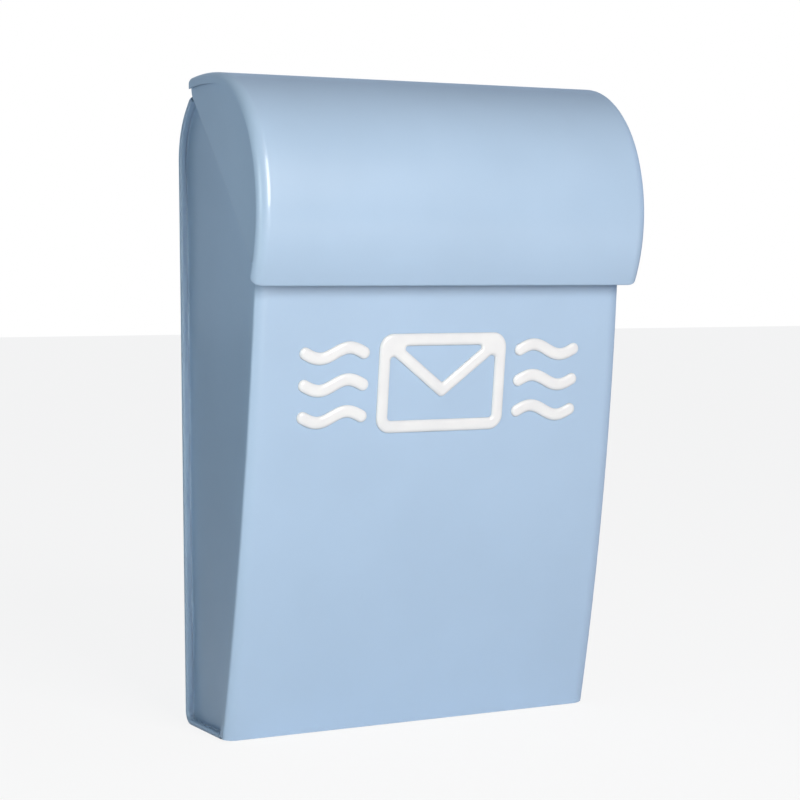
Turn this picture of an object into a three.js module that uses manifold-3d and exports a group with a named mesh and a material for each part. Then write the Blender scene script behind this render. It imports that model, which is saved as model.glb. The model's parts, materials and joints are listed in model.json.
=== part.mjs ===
// A wall mailbox in sheet steel: a slim box with a bowed front, and a barrel-shaped lid hinged along
// the back.
// Millimetres, +X to the right of someone who faces the front, +Y into the wall, +Z up.
// Pieces are drawn with Z = 0 at the underside, and the group lowers them so that the origin is the
// centre of the flat back face, where the mailbox meets the wall.

import * as THREE from "three";
import { mergeVertices } from "three/addons/utils/BufferGeometryUtils.js";
import Module from "manifold-3d";

// ---------- Driving dimensions ----------
const SHEET = 0.8;
const GAP = 0.3; // between sheets that touch on the real object

const BODY_WIDTH = 250;
const BOTTOM_DEPTH = 67; // front sheet's distance from the wall at the underside
const LID_EDGE_DEPTH = 117; // the same at the height of the lid's lower edge
const LID_EDGE_HEIGHT = 270.5;
const FRONT_BOW = 5.5; // how far the front stands out of a straight line between those two points
const FRONT_TOP = 309; // top edge of the front sheet, under the lid
const FRONT_HEM = 12; // depth of the fold along that edge

const SIDE_RECESS = 5.5; // side sheets lie this far in from the rims round them
const FRONT_ROLL = 6; // radius of the front sheet's rolled side edges
const FRONT_BEAD = 9; // depth of a rolled edge, from the front face to its inner leg
const FRONT_TUCK = 1.1; // radius where a rolled edge turns in behind the side sheet's flange
const RIM_THICKNESS = 3; // folded edge of the back and bottom sheet
const RIM_LEG = 3.5; // straight part of that fold's inner leg

const HEEL_RADIUS = 8; // back-bottom corner
const BACK_TOP = 358.6; // top of the flat back
const CROWN = { drop: 43, upper: 6, lower: 14 }; // slope from there to the lip, in degrees, and its two bends
const LIP_HEIGHT = 388.6; // top of the back sheet's level lip
const LIP_FRONT = -47;
const TOE_RADIUS = 2; // where the bottom sheet turns up behind the front sheet
const TOE_HEIGHT = 12;

const LID_WIDTH = 260;
const LID_REAR = { y: -33, z: 399.3 }; // rear end of the lid's top
const LID_RISE_DEG = 3.6; // the top leaves its rear end rising forward by this much
const LID_BACK = { radius: 219, bend: 12.2 };
const LID_CROWN = { radius: 70, bend: 58 };
const LID_BREAST = { radius: 96.2, bend: 52.7 };
const LID_ROLL = 5.5; // radius of the lid's rolled side edges
const LID_BAND = 7; // depth of a rolled edge seen from the side
const LID_CORNER = { width: 13, height: 8 }; // the lid's lower corners are quarter ellipses
const LID_HEM = 10; // folded-in lower edge of the lid
const LID_REAR_HEM = 14; // folded-under rear edge of the lid, where the hinge is fixed
const CHEEK_FACE = 1.2; // the lid's end plates lie this far in from the rolled edges
const CHEEK_INSET = 4.2; // edge of an end plate, inside the lid's outline
const CHEEK_TOP = { y: -36, z: 386 }; // the end plate's straight lower edge runs through these two points
const CHEEK_BOTTOM = { y: -124.5, z: 284 };
const CHEEK_HEM = 5;
const SIDE_OVERLAP = 7; // how far the side sheets reach up behind the end plates

const HINGE_Y = -31;
const KNUCKLE_RADIUS = 4.2;
const HINGE_BORE = 1.5;
const PIN_RADIUS = 1.25;
const LEAF = 1;
const LEAF_FRONT = -46;
const LEAF_GAP = 0.5; // between a leaf's edge and the other leaf's knuckles
const KNUCKLE_COUNT = 9;
const KNUCKLE_LENGTH = 26;
const KNUCKLE_GAP = 0.5;

const RIVET_COUNT = 5;
const RIVET_SPACING = 52;
const RIVET_Y = -41;
const RIVET_SHANK = 1.6;
const RIVET_HEAD = { radius: 3, rise: 1.2 };
const RIVET_FOOT = 1; // thickness of a rivet's closed head, under the lip

const KEYHOLE_X = 75;
const KEYHOLE_HEIGHT = 318;
const KEYHOLE_ENTRY = 5;
const KEYHOLE_SLOT = { width: 5, length: 12 };
const LOWER_HOLE = { height: 60, radius: 3.5 };

const STROKE = 7.5; // width of the emblem's raised strokes
const EMBLEM_HEIGHT = 213; // centre of the emblem above the underside
const EMBLEM_RAISE = 1.6;
const EMBLEM_SPARE = 1.5; // drawn into the bowed front, then cut off behind it
const ENVELOPE = { width: 86, height: 60, corner: 9 };
const FLAP_DROP = 30;
const WAVE = { start: 53, length: 38, rise: 3.2, spacing: 19, count: 3 };

// ---------- Dimensions worked out from the ones above ----------
const HALF_BODY = BODY_WIDTH / 2;
const HALF_LID = LID_WIDTH / 2;
const WALL_FACE_HEIGHT = (HEEL_RADIUS + BACK_TOP) / 2;
const HINGE_Z = LIP_HEIGHT + GAP + KNUCKLE_RADIUS;
const SIDE_FACE = HALF_BODY - SIDE_RECESS;
const SIDE_INNER = SIDE_FACE - SHEET;
const INSIDE_HALF = SIDE_INNER - GAP; // inner sheets end here, clear of the side sheets
const FLANGE_TIP = HALF_BODY - SHEET - GAP;
const FLANGE_DEPTH_BACK = SHEET + GAP;
const FLANGE_DEPTH_FRONT = FRONT_BEAD - 2 * SHEET - GAP;
const FAR = 500; // beyond everything, for cutting tools
const SPLICE = 1; // how far two stretches of one sheet run into each other where they are joined
const CHORD_ERROR = 0.07; // most that a straight step may cut inside its arc

// The crown's slope, straight between its two bends, and the depth at which the lip starts.
const CROWN_SIN = Math.sin(THREE.MathUtils.degToRad(CROWN.drop));
const CROWN_COS = Math.cos(THREE.MathUtils.degToRad(CROWN.drop));
const CROWN_BENDS_RISE = CROWN.upper * (1 - CROWN_COS) + CROWN.lower * CROWN_COS;
const CROWN_RUN = (LIP_HEIGHT - BACK_TOP - CROWN_BENDS_RISE) / CROWN_SIN;
const LIP_REAR = CROWN.upper * CROWN_SIN + CROWN_RUN * CROWN_COS + CROWN.lower * (1 - CROWN_SIN);

// The front sheet is one long arc. Its lean is measured from upright, in degrees.
const FRONT_CHORD = Math.hypot(LID_EDGE_HEIGHT, LID_EDGE_DEPTH - BOTTOM_DEPTH);
const FRONT_RADIUS = FRONT_CHORD ** 2 / (8 * FRONT_BOW) + FRONT_BOW / 2;
const FRONT_HALF_BEND = THREE.MathUtils.radToDeg(Math.asin(FRONT_CHORD / 2 / FRONT_RADIUS));
const FRONT_LEAN = THREE.MathUtils.radToDeg(Math.atan2(LID_EDGE_DEPTH - BOTTOM_DEPTH, LID_EDGE_HEIGHT));
const FOOT_LEAN = FRONT_LEAN + FRONT_HALF_BEND;
const FOOT_SPARE = 0.4; // degrees of arc drawn below the underside, then cut off
const TOP_SPARE = 1.6; // degrees of arc above the lid's lower edge, cut off at FRONT_TOP
const RIM_END = BOTTOM_DEPTH - FRONT_BEAD / Math.cos(THREE.MathUtils.degToRad(FOOT_LEAN)) - GAP;

const PAINT = new THREE.MeshStandardMaterial({ color: 0xaec9e3, roughness: 0.35, metalness: 0 });
const ENAMEL = new THREE.MeshStandardMaterial({ color: 0xf2f4f5, roughness: 0.25, metalness: 0 });
const STEEL = new THREE.MeshStandardMaterial({ color: 0xb4b8bc, roughness: 0.4, metalness: 1 });

// ---------- Drawing bent sheets ----------

// Traces a line that runs straight for `run`, then turns left by `bend` degrees about `radius`
// (right when `bend` is negative), for each move in turn.
function trace(start, headingDeg, moves) {
  const points = [new THREE.Vector2(start.x, start.y)];
  let at = points[0].clone();
  let heading = THREE.MathUtils.degToRad(headingDeg);
  for (const { run = 0, bend = 0, radius = 0 } of moves) {
    if (run > 0) {
      at = new THREE.Vector2(at.x + run * Math.cos(heading), at.y + run * Math.sin(heading));
      points.push(at);
    }
    const turn = THREE.MathUtils.degToRad(bend);
    const side = Math.sign(turn);
    const centre = new THREE.Vector2(
      at.x - side * radius * Math.sin(heading),
      at.y + side * radius * Math.cos(heading),
    );
    const steps = radius > 0 ? Math.ceil(Math.abs(turn) / (2 * Math.acos(1 - CHORD_ERROR / radius))) : 0;
    for (let i = 1; i <= steps; i++) {
      const angle = heading + (turn * i) / steps;
      at = new THREE.Vector2(
        centre.x + side * radius * Math.sin(angle),
        centre.y - side * radius * Math.cos(angle),
      );
      points.push(at);
    }
    heading += turn;
  }
  return points;
}

// The line moved sideways: to its left by `distance`, or to its right when that is negative.
function offset(points, distance) {
  return points.map((point, i) => {
    const before = points[Math.max(i - 1, 0)];
    const after = points[Math.min(i + 1, points.length - 1)];
    const into = new THREE.Vector2().subVectors(point, before).normalize();
    const out = new THREE.Vector2().subVectors(after, point).normalize();
    const along = new THREE.Vector2().addVectors(into, out).normalize();
    const full = i === 0 ? out : into;
    const reach = distance / Math.max(along.dot(full), 0.5);
    return new THREE.Vector2(point.x - reach * along.y, point.y + reach * along.x);
  });
}

// The closed outline of a sheet between two offsets of a line.
function ribbon(points, from, to) {
  return [...offset(points, from), ...offset(points, to).reverse()];
}

// The line with its mirror image about x = 0 in front of it. The line starts on x = 0.
function mirrored(points) {
  const other = points.slice(1).map((p) => new THREE.Vector2(-p.x, p.y));
  return [...other.reverse(), ...points];
}

// Outline drawn as (y, z), made solid from x0 to x1.
function across(outline, x0, x1) {
  const geometry = new THREE.ExtrudeGeometry(new THREE.Shape(outline), {
    depth: x1 - x0,
    bevelEnabled: false,
  });
  const axes = new THREE.Matrix4().makeBasis(
    new THREE.Vector3(0, 1, 0),
    new THREE.Vector3(0, 0, 1),
    new THREE.Vector3(1, 0, 0),
  );
  return toSolid(geometry.applyMatrix4(axes).translate(x0, 0, 0));
}

// A path in the plane x = 0 that goes straight from point to point, so that arcs get many steps
// and straights get one.
class BentPath extends THREE.Curve {
  constructor(points) {
    super();
    this.points = points.map((p) => new THREE.Vector3(0, p.x, p.y));
    this.steps = points.length - 1;
  }

  getPointAt(u, target = new THREE.Vector3()) {
    return target.copy(this.points[Math.round(u * this.steps)]);
  }

  getTangentAt(u, target = new THREE.Vector3()) {
    const i = Math.round(u * this.steps);
    const before = this.points[Math.max(i - 1, 0)];
    const here = this.points[i];
    const after = this.points[Math.min(i + 1, this.steps)];
    const into = new THREE.Vector3().subVectors(here, before).normalize();
    const out = new THREE.Vector3().subVectors(after, here).normalize();
    return target.addVectors(into, out).normalize();
  }
}

// A sheet's cross-section, drawn as (across, outward), carried along a path drawn as (y, z).
function sweep(section, points) {
  const path = new BentPath(points);
  const geometry = new THREE.ExtrudeGeometry(new THREE.Shape(section), {
    steps: path.steps,
    extrudePath: path,
  });
  return toSolid(geometry);
}

// ---------- Solids ----------
const manifold = await Module();
manifold.setup();

function toSolid(geometry) {
  const loose = geometry.index ? geometry.toNonIndexed() : geometry;
  const bare = new THREE.BufferGeometry();
  bare.setAttribute("position", loose.getAttribute("position"));
  const merged = mergeVertices(bare, 1e-4);
  return new manifold.Manifold(
    new manifold.Mesh({
      numProp: 3,
      vertProperties: new Float32Array(merged.attributes.position.array),
      triVerts: new Uint32Array(merged.index.array),
    }),
  );
}

function toGeometry(solid) {
  const mesh = solid.getMesh();
  const geometry = new THREE.BufferGeometry();
  geometry.setAttribute("position", new THREE.BufferAttribute(mesh.vertProperties, 3));
  geometry.setIndex(new THREE.BufferAttribute(mesh.triVerts, 1));
  geometry.computeVertexNormals();
  return geometry;
}

function joined(solids) {
  return solids.reduce((whole, solid) => whole.add(solid));
}

function box(x0, x1, y0, y1, z0, z1) {
  const geometry = new THREE.BoxGeometry(x1 - x0, y1 - y0, z1 - z0);
  return toSolid(geometry.translate((x0 + x1) / 2, (y0 + y1) / 2, (z0 + z1) / 2));
}

// A cylinder along X.
function rod(radius, x0, x1, y, z, segments = 20) {
  const geometry = new THREE.CylinderGeometry(radius, radius, x1 - x0, segments);
  return toSolid(geometry.rotateZ(Math.PI / 2).translate((x0 + x1) / 2, y, z));
}

// ---------- Outlines in the (y, z) plane ----------

// The front sheet from below the underside to above its top edge, `inset` behind its outer face.
function frontProfile(inset) {
  const heading = 90 + FOOT_LEAN + FOOT_SPARE;
  const footAngle = THREE.MathUtils.degToRad(FOOT_LEAN);
  const startAngle = THREE.MathUtils.degToRad(FOOT_LEAN + FOOT_SPARE);
  const start = {
    x: -BOTTOM_DEPTH + FRONT_RADIUS * Math.cos(footAngle) - (FRONT_RADIUS - inset) * Math.cos(startAngle),
    y: FRONT_RADIUS * Math.sin(footAngle) - (FRONT_RADIUS - inset) * Math.sin(startAngle),
  };
  const bend = FOOT_SPARE + 2 * FRONT_HALF_BEND + TOP_SPARE;
  return trace(start, heading, [{ bend: -bend, radius: FRONT_RADIUS - inset }]);
}

// The back and bottom sheet, from the lip down the back and forward along the bottom, `inset` from
// its outer face.
function shellProfile(inset, bottomFront) {
  const start = { x: -LIP_REAR, y: LIP_HEIGHT - inset };
  return trace(start, 0, [
    { bend: -CROWN.drop, radius: CROWN.upper - inset },
    { run: CROWN_RUN, bend: CROWN.drop - 90, radius: CROWN.lower - inset },
    { run: BACK_TOP - HEEL_RADIUS, bend: -90, radius: HEEL_RADIUS - inset },
    { run: bottomFront - HEEL_RADIUS },
  ]);
}

// The lid's barrel, from its rear end forward and down to its lower edge, `inset` inside its outer face.
function lidProfile(inset) {
  const rise = THREE.MathUtils.degToRad(LID_RISE_DEG);
  const start = {
    x: LID_REAR.y - inset * Math.sin(rise),
    y: LID_REAR.z - inset * Math.cos(rise),
  };
  const moves = [LID_BACK, LID_CROWN, LID_BREAST].map(({ radius, bend }) => {
    return { bend, radius: radius - inset };
  });
  return trace(start, 180 - LID_RISE_DEG, moves);
}

// A point on the line of the end plates' lower edge at the depth y, moved up and forward by `shift`.
function cheekEdge(y, shift = 0) {
  const dy = CHEEK_BOTTOM.y - CHEEK_TOP.y;
  const dz = CHEEK_BOTTOM.z - CHEEK_TOP.z;
  const length = Math.hypot(dy, dz);
  const base = CHEEK_TOP.z + ((y - CHEEK_TOP.y) * dz) / dy;
  return base + (shift * length) / Math.abs(dy);
}

// ---------- Body ----------

// The front sheet: rolled back at its sides, then turned in behind the side sheets' flanges.
function makeFrontPanel() {
  const middle = SHEET / 2;
  const half = trace({ x: 0, y: -middle }, 0, [
    { run: HALF_BODY - FRONT_ROLL, bend: -90, radius: FRONT_ROLL - middle },
    { run: FRONT_BEAD - FRONT_ROLL - middle - FRONT_TUCK, bend: -90, radius: FRONT_TUCK },
    { run: SIDE_RECESS - middle - FRONT_TUCK - GAP },
  ]);
  const sheet = sweep(ribbon(mirrored(half), -middle, middle), frontProfile(0));
  const hem = across(
    ribbon(frontProfile(0), -2 * SHEET, -SHEET / 2),
    -INSIDE_HALF,
    INSIDE_HALF,
  ).subtract(box(-FAR, FAR, -FAR, FAR, -FAR, FRONT_TOP - FRONT_HEM));
  return sheet
    .add(hem)
    .subtract(box(-FAR, FAR, -FAR, FAR, -FAR, 0))
    .subtract(box(-FAR, FAR, -FAR, FAR, FRONT_TOP, FAR));
}

// A side sheet: a flat plate whose back, bottom and front edges turn out as a flange.
function makeSidePanel(side) {
  const edge = (shift) => {
    const backRun = shellProfile(FLANGE_DEPTH_BACK + shift, RIM_END);
    return [...backRun, ...above(frontProfile(FLANGE_DEPTH_FRONT + shift), FLANGE_DEPTH_BACK + shift)];
  };
  const block = across(edge(0), SIDE_INNER, FLANGE_TIP);
  const hollow = across(edge(SHEET), SIDE_FACE, FAR);
  const slope = [
    new THREE.Vector2(0, LIP_HEIGHT - FLANGE_DEPTH_BACK),
    new THREE.Vector2(slopeStart(), LIP_HEIGHT - FLANGE_DEPTH_BACK),
    new THREE.Vector2(-FAR, cheekEdge(-FAR, SIDE_OVERLAP)),
    new THREE.Vector2(-FAR, FAR),
    new THREE.Vector2(0, FAR),
  ];
  const notch = box(SIDE_FACE, FAR, -FAR, GAP - RIM_END, 0, RIM_THICKNESS);
  const plate = block.subtract(hollow).subtract(across(slope, -FAR, FAR)).subtract(notch);
  return side > 0 ? plate : plate.mirror([1, 0, 0]);
}

// The part of a rising line above a height.
function above(points, z) {
  const start = new THREE.Vector2(pointAtHeight(points, z).y, z);
  return [start, ...points.filter((p) => p.y > z)];
}

// Depth at which the side sheets' top edge leaves the level of the lip and slopes down.
function slopeStart() {
  const dy = CHEEK_BOTTOM.y - CHEEK_TOP.y;
  const dz = CHEEK_BOTTOM.z - CHEEK_TOP.z;
  const level = LIP_HEIGHT - FLANGE_DEPTH_BACK;
  return CHEEK_TOP.y + ((level - cheekEdge(CHEEK_TOP.y, SIDE_OVERLAP)) * dy) / dz;
}

// The back and bottom sheet. Its side edges fold round the side sheets' flanges as a rim, its top has a
// level lip for the hinge, and its front edge turns up behind the front sheet.
function makeBackBottomPanel() {
  const middle = SHEET / 2;
  const fold = (RIM_THICKNESS - SHEET) / 2;
  const half = trace({ x: 0, y: -middle }, 0, [
    { run: HALF_BODY - middle - fold, bend: -180, radius: fold },
    { run: RIM_LEG },
  ]);
  const rimmed = sweep(
    ribbon(mirrored(half), -middle, middle),
    shellProfile(0, RIM_END),
  );
  const lip = box(-INSIDE_HALF, INSIDE_HALF, LIP_FRONT, SPLICE - LIP_REAR, LIP_HEIGHT - SHEET, LIP_HEIGHT);
  const toeFront = BOTTOM_DEPTH - (SHEET + GAP) / Math.cos(THREE.MathUtils.degToRad(FOOT_LEAN));
  const toeBend = 90 - FOOT_LEAN;
  const toeCorner = TOE_RADIUS * Math.tan(THREE.MathUtils.degToRad(toeBend / 2));
  const toe = trace({ x: SPLICE - RIM_END, y: middle }, 180, [
    { run: SPLICE + toeFront - RIM_END - toeCorner - middle, bend: -toeBend, radius: TOE_RADIUS },
    { run: TOE_HEIGHT },
  ]);
  const turnUp = across(ribbon(toe, -middle, middle), -INSIDE_HALF, INSIDE_HALF);
  return joined([rimmed, lip, turnUp])
    .subtract(joined([-1, 1].map((side) => keyhole(side * KEYHOLE_X))))
    .subtract(joined(rivetPlaces().map((x) => drill(x, RIVET_SHANK + GAP))))
    .subtract(wallBore(0, LOWER_HOLE.height, LOWER_HOLE.radius));
}

// A round tool through the back sheet.
function wallBore(x, z, radius) {
  const geometry = new THREE.CylinderGeometry(radius, radius, 4 * RIM_THICKNESS, 24);
  return toSolid(geometry.translate(x, 0, z));
}

// A keyhole-shaped tool: a screw head enters below, and its shank slides up the slot.
function keyhole(x) {
  const half = KEYHOLE_SLOT.width / 2;
  const top = KEYHOLE_HEIGHT + KEYHOLE_SLOT.length;
  const deep = 2 * RIM_THICKNESS;
  return joined([
    wallBore(x, KEYHOLE_HEIGHT, KEYHOLE_ENTRY),
    box(x - half, x + half, -deep, deep, KEYHOLE_HEIGHT, top),
    wallBore(x, top, half),
  ]);
}

// ---------- Lid ----------

// The barrel sheet, rolled over at both sides, with its lower and rear edges folded in.
function makeLidShell() {
  const middle = SHEET / 2;
  const half = trace({ x: 0, y: -middle }, 0, [
    { run: HALF_LID - LID_ROLL, bend: -90, radius: LID_ROLL - middle },
    { run: LID_BAND - LID_ROLL },
  ]);
  const upwards = lidProfile(0).reverse();
  const barrel = sweep(ribbon(mirrored(half), -middle, middle), upwards);
  const lining = across(
    ribbon(lidProfile(0), middle, 2 * SHEET),
    LID_ROLL - HALF_LID,
    HALF_LID - LID_ROLL,
  );
  const lowerEdge = box(-FAR, FAR, -FAR, FAR, -FAR, LID_EDGE_HEIGHT + LID_HEM);
  const rearEdge = box(-FAR, FAR, LID_REAR.y - LID_REAR_HEM, FAR, -FAR, FAR);
  const hems = lining.intersect(lowerEdge.add(rearEdge));
  return barrel.add(hems).subtract(joined([-1, 1].map(lidCorner)));
}

// A tool that rounds one of the lid's lower corners.
function lidCorner(side) {
  const { width, height } = LID_CORNER;
  const x = side * (HALF_LID - width);
  const z = LID_EDGE_HEIGHT + height;
  const round = new THREE.CylinderGeometry(width, width, 2 * FAR, 64);
  round.scale(1, 1, height / width).translate(x, 0, z);
  const [x0, x1] = [x, side * FAR].sort((a, b) => a - b);
  return box(x0, x1, -FAR, FAR, -FAR, z).subtract(toSolid(round));
}

// A flat end plate of the lid, set in behind the rolled edge, with a folded lower edge.
function makeCheek(side) {
  const face = HALF_LID - CHEEK_FACE;
  const rim = lidProfile(CHEEK_INSET);
  const corner = new THREE.Vector2(CHEEK_TOP.y, rim.at(-1).y);
  const outline = [...rim, corner, new THREE.Vector2(CHEEK_TOP.y, CHEEK_TOP.z)];
  const below = (shift) => [
    new THREE.Vector2(0, cheekEdge(0, shift)),
    new THREE.Vector2(-FAR, cheekEdge(-FAR, shift)),
    new THREE.Vector2(-FAR, -FAR),
    new THREE.Vector2(0, -FAR),
  ];
  const plate = across(outline, face - SHEET, face);
  const doubled = across(outline, face - 2 * SHEET - GAP, face).intersect(
    across(below(CHEEK_HEM), -FAR, FAR),
  );
  const cheek = plate.add(doubled).subtract(across(below(0), -FAR, FAR));
  return side > 0 ? cheek : cheek.mirror([1, 0, 0]);
}

// ---------- Hinge ----------

// The knuckles of one leaf: even ones belong to the body's leaf, odd ones to the lid's.
function knucklePlaces(parity) {
  const pitch = KNUCKLE_LENGTH + KNUCKLE_GAP;
  const places = [];
  for (let i = parity; i < KNUCKLE_COUNT; i += 2) {
    places.push((i - (KNUCKLE_COUNT - 1) / 2) * pitch);
  }
  return places;
}

// A leaf with its knuckles. `up` is 1 for the lid's leaf, above the pin, and -1 for the body's, below it.
function makeLeaf(parity, up) {
  const pitch = KNUCKLE_LENGTH + KNUCKLE_GAP;
  const reach = ((KNUCKLE_COUNT - parity * 2) * pitch - KNUCKLE_GAP) / 2;
  const tangent = HINGE_Z + up * KNUCKLE_RADIUS;
  const [low, high] = [tangent, tangent - up * LEAF].sort((a, b) => a - b);
  const edge = HINGE_Y - KNUCKLE_RADIUS - LEAF_GAP;
  const plate = box(-reach, reach, LEAF_FRONT, edge, low, high);
  const knuckles = knucklePlaces(parity).map((x) => {
    const [x0, x1] = [x - KNUCKLE_LENGTH / 2, x + KNUCKLE_LENGTH / 2];
    const tab = box(x0, x1, edge - SPLICE, HINGE_Y, low, high);
    return rod(KNUCKLE_RADIUS, x0, x1, HINGE_Y, HINGE_Z).add(tab);
  });
  return joined([plate, ...knuckles]).subtract(rod(HINGE_BORE, -FAR, FAR, HINGE_Y, HINGE_Z));
}

function makeHingeLeafBody() {
  return makeLeaf(0, -1).subtract(joined(rivetPlaces().map((x) => drill(x, RIVET_SHANK + GAP))));
}

function makeHingePin() {
  const half = (KNUCKLE_COUNT * (KNUCKLE_LENGTH + KNUCKLE_GAP)) / 2 + 1;
  return rod(PIN_RADIUS, -half, half, HINGE_Y, HINGE_Z);
}

function rivetPlaces() {
  return Array.from({ length: RIVET_COUNT }, (_, i) => (i - (RIVET_COUNT - 1) / 2) * RIVET_SPACING);
}

// An upright round tool through the lip and the body's leaf.
function drill(x, radius) {
  const geometry = new THREE.CylinderGeometry(radius, radius, 8, 20);
  return toSolid(geometry.rotateX(Math.PI / 2).translate(x, RIVET_Y, LIP_HEIGHT));
}

// A rivet: a low domed head above the leaf, a shank, and a closed head below the lip.
function rivetGeometry() {
  const top = LIP_HEIGHT + GAP + LEAF + GAP;
  const bottom = LIP_HEIGHT - SHEET - GAP;
  const { radius, rise } = RIVET_HEAD;
  const profile = [
    new THREE.Vector2(0, bottom - RIVET_FOOT),
    new THREE.Vector2(RIVET_SHANK, bottom - RIVET_FOOT),
    new THREE.Vector2(radius - RIVET_FOOT / 2, bottom),
    new THREE.Vector2(RIVET_SHANK, bottom),
    new THREE.Vector2(RIVET_SHANK, top),
  ];
  const steps = 4;
  for (let i = 0; i <= steps; i++) {
    const angle = (Math.PI / 2) * (i / steps);
    profile.push(new THREE.Vector2(radius * Math.cos(angle), top + rise * Math.sin(angle)));
  }
  profile.at(-1).x = 0;
  return new THREE.LatheGeometry(profile, 20).rotateX(Math.PI / 2);
}

// ---------- Emblem ----------

// Raised strokes are drawn flat as (right, up), then stood on the front sheet's slope.
function ontoFront(geometry) {
  const face = frontProfile(0);
  const surface = pointAtHeight(face, EMBLEM_HEIGHT);
  geometry.rotateX(Math.PI / 2 + surface.lean).translate(0, surface.y, EMBLEM_HEIGHT);
  const behind = [...frontProfile(-GAP), new THREE.Vector2(0, FAR), new THREE.Vector2(0, -FAR)];
  return toSolid(geometry).subtract(across(behind, -HALF_BODY, HALF_BODY));
}

// Where a line drawn upwards passes a height, and how far it leans forward there.
function pointAtHeight(points, z) {
  const next = points.findIndex((p) => p.y > z);
  const [a, b] = [points[next - 1], points[next]];
  const share = (z - a.y) / (b.y - a.y);
  return { y: a.x + share * (b.x - a.x), lean: Math.atan2(a.x - b.x, b.y - a.y) };
}

// A stroke with round ends along a centre line.
function stroke(centreLine) {
  const outline = ribbon(centreLine, -STROKE / 2, STROKE / 2);
  const parts = [slab(new THREE.Shape(outline))];
  for (const end of [centreLine[0], centreLine.at(-1)]) {
    parts.push(slab(new THREE.Shape().absarc(end.x, end.y, STROKE / 2, 0, 2 * Math.PI)));
  }
  return parts;
}

function slab(shape) {
  const depth = EMBLEM_RAISE + EMBLEM_SPARE;
  const geometry = new THREE.ExtrudeGeometry(shape, { depth, bevelEnabled: false, curveSegments: 5 });
  return ontoFront(geometry.translate(0, 0, EMBLEM_RAISE - depth));
}

function roundedRectangle(path, halfWidth, halfHeight, corner) {
  const [w, h, c] = [halfWidth, halfHeight, corner];
  path.absarc(w - c, h - c, c, 0, Math.PI / 2);
  path.absarc(c - w, h - c, c, Math.PI / 2, Math.PI);
  path.absarc(c - w, c - h, c, Math.PI, 1.5 * Math.PI);
  path.absarc(w - c, c - h, c, 1.5 * Math.PI, 2 * Math.PI);
  return path;
}

// An envelope: a rounded frame with a V-shaped flap.
function makeEnvelope() {
  const [w, h] = [ENVELOPE.width / 2, ENVELOPE.height / 2];
  const frame = roundedRectangle(new THREE.Shape(), w, h, ENVELOPE.corner);
  frame.holes.push(roundedRectangle(new THREE.Path(), w - STROKE, h - STROKE, ENVELOPE.corner / 3));
  const corner = { x: w - STROKE / 2 - 1, y: h - STROKE / 2 - 1 };
  const tip = new THREE.Vector2(0, corner.y - FLAP_DROP);
  const flap = [-1, 1].flatMap((side) => stroke([new THREE.Vector2(side * corner.x, corner.y), tip]));
  return joined([slab(frame), ...flap]);
}

// One wavy stroke beside the envelope.
function makeWave(side, row) {
  const steps = 12;
  const height = ((WAVE.count - 1) / 2 - row) * WAVE.spacing;
  const line = [];
  for (let i = 0; i <= steps; i++) {
    const x = WAVE.start + (WAVE.length * i) / steps;
    line.push(new THREE.Vector2(side * x, height + WAVE.rise * Math.sin((2 * Math.PI * i) / steps)));
  }
  return joined(stroke(line));
}

// ---------- Assembly ----------
const mailbox = new THREE.Group();
mailbox.position.z = -WALL_FACE_HEIGHT;

function place(name, geometry, material) {
  const mesh = new THREE.Mesh(geometry, material);
  mesh.name = name;
  mailbox.add(mesh);
  return mesh;
}

place("front_panel", toGeometry(makeFrontPanel()), PAINT);
place("side_panel_left", toGeometry(makeSidePanel(-1)), PAINT);
place("side_panel_right", toGeometry(makeSidePanel(1)), PAINT);
place("back_bottom_panel", toGeometry(makeBackBottomPanel()), PAINT);
place("lid_shell", toGeometry(makeLidShell()), PAINT);
place("lid_cheek_left", toGeometry(makeCheek(-1)), PAINT);
place("lid_cheek_right", toGeometry(makeCheek(1)), PAINT);
place("hinge_leaf_body", toGeometry(makeHingeLeafBody()), PAINT);
place("hinge_leaf_lid", toGeometry(makeLeaf(1, 1)), PAINT);
place("hinge_pin", toGeometry(makeHingePin()), STEEL);
rivetPlaces().forEach((x, i) => {
  place(`hinge_rivet_${i + 1}`, rivetGeometry(), STEEL).position.set(x, RIVET_Y, 0);
});
place("emblem_envelope", toGeometry(makeEnvelope()), ENAMEL);
for (let row = 0; row < WAVE.count; row++) {
  place(`emblem_wave_left_${row + 1}`, toGeometry(makeWave(-1, row)), ENAMEL);
  place(`emblem_wave_right_${row + 1}`, toGeometry(makeWave(1, row)), ENAMEL);
}

export default mailbox;
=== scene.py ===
"""A wall mailbox in pale blue painted sheet steel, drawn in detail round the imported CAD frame.

Sheets are drawn as bent lines in millimetres, with Z = 0 at the underside, and each mesh is scaled to
metres and lowered to the frame's own height as it is made. Outlines in the side view are (y, z) pairs.
"""

import json
import math
import random

import bmesh
import bpy
from mathutils import Matrix, Vector


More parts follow.
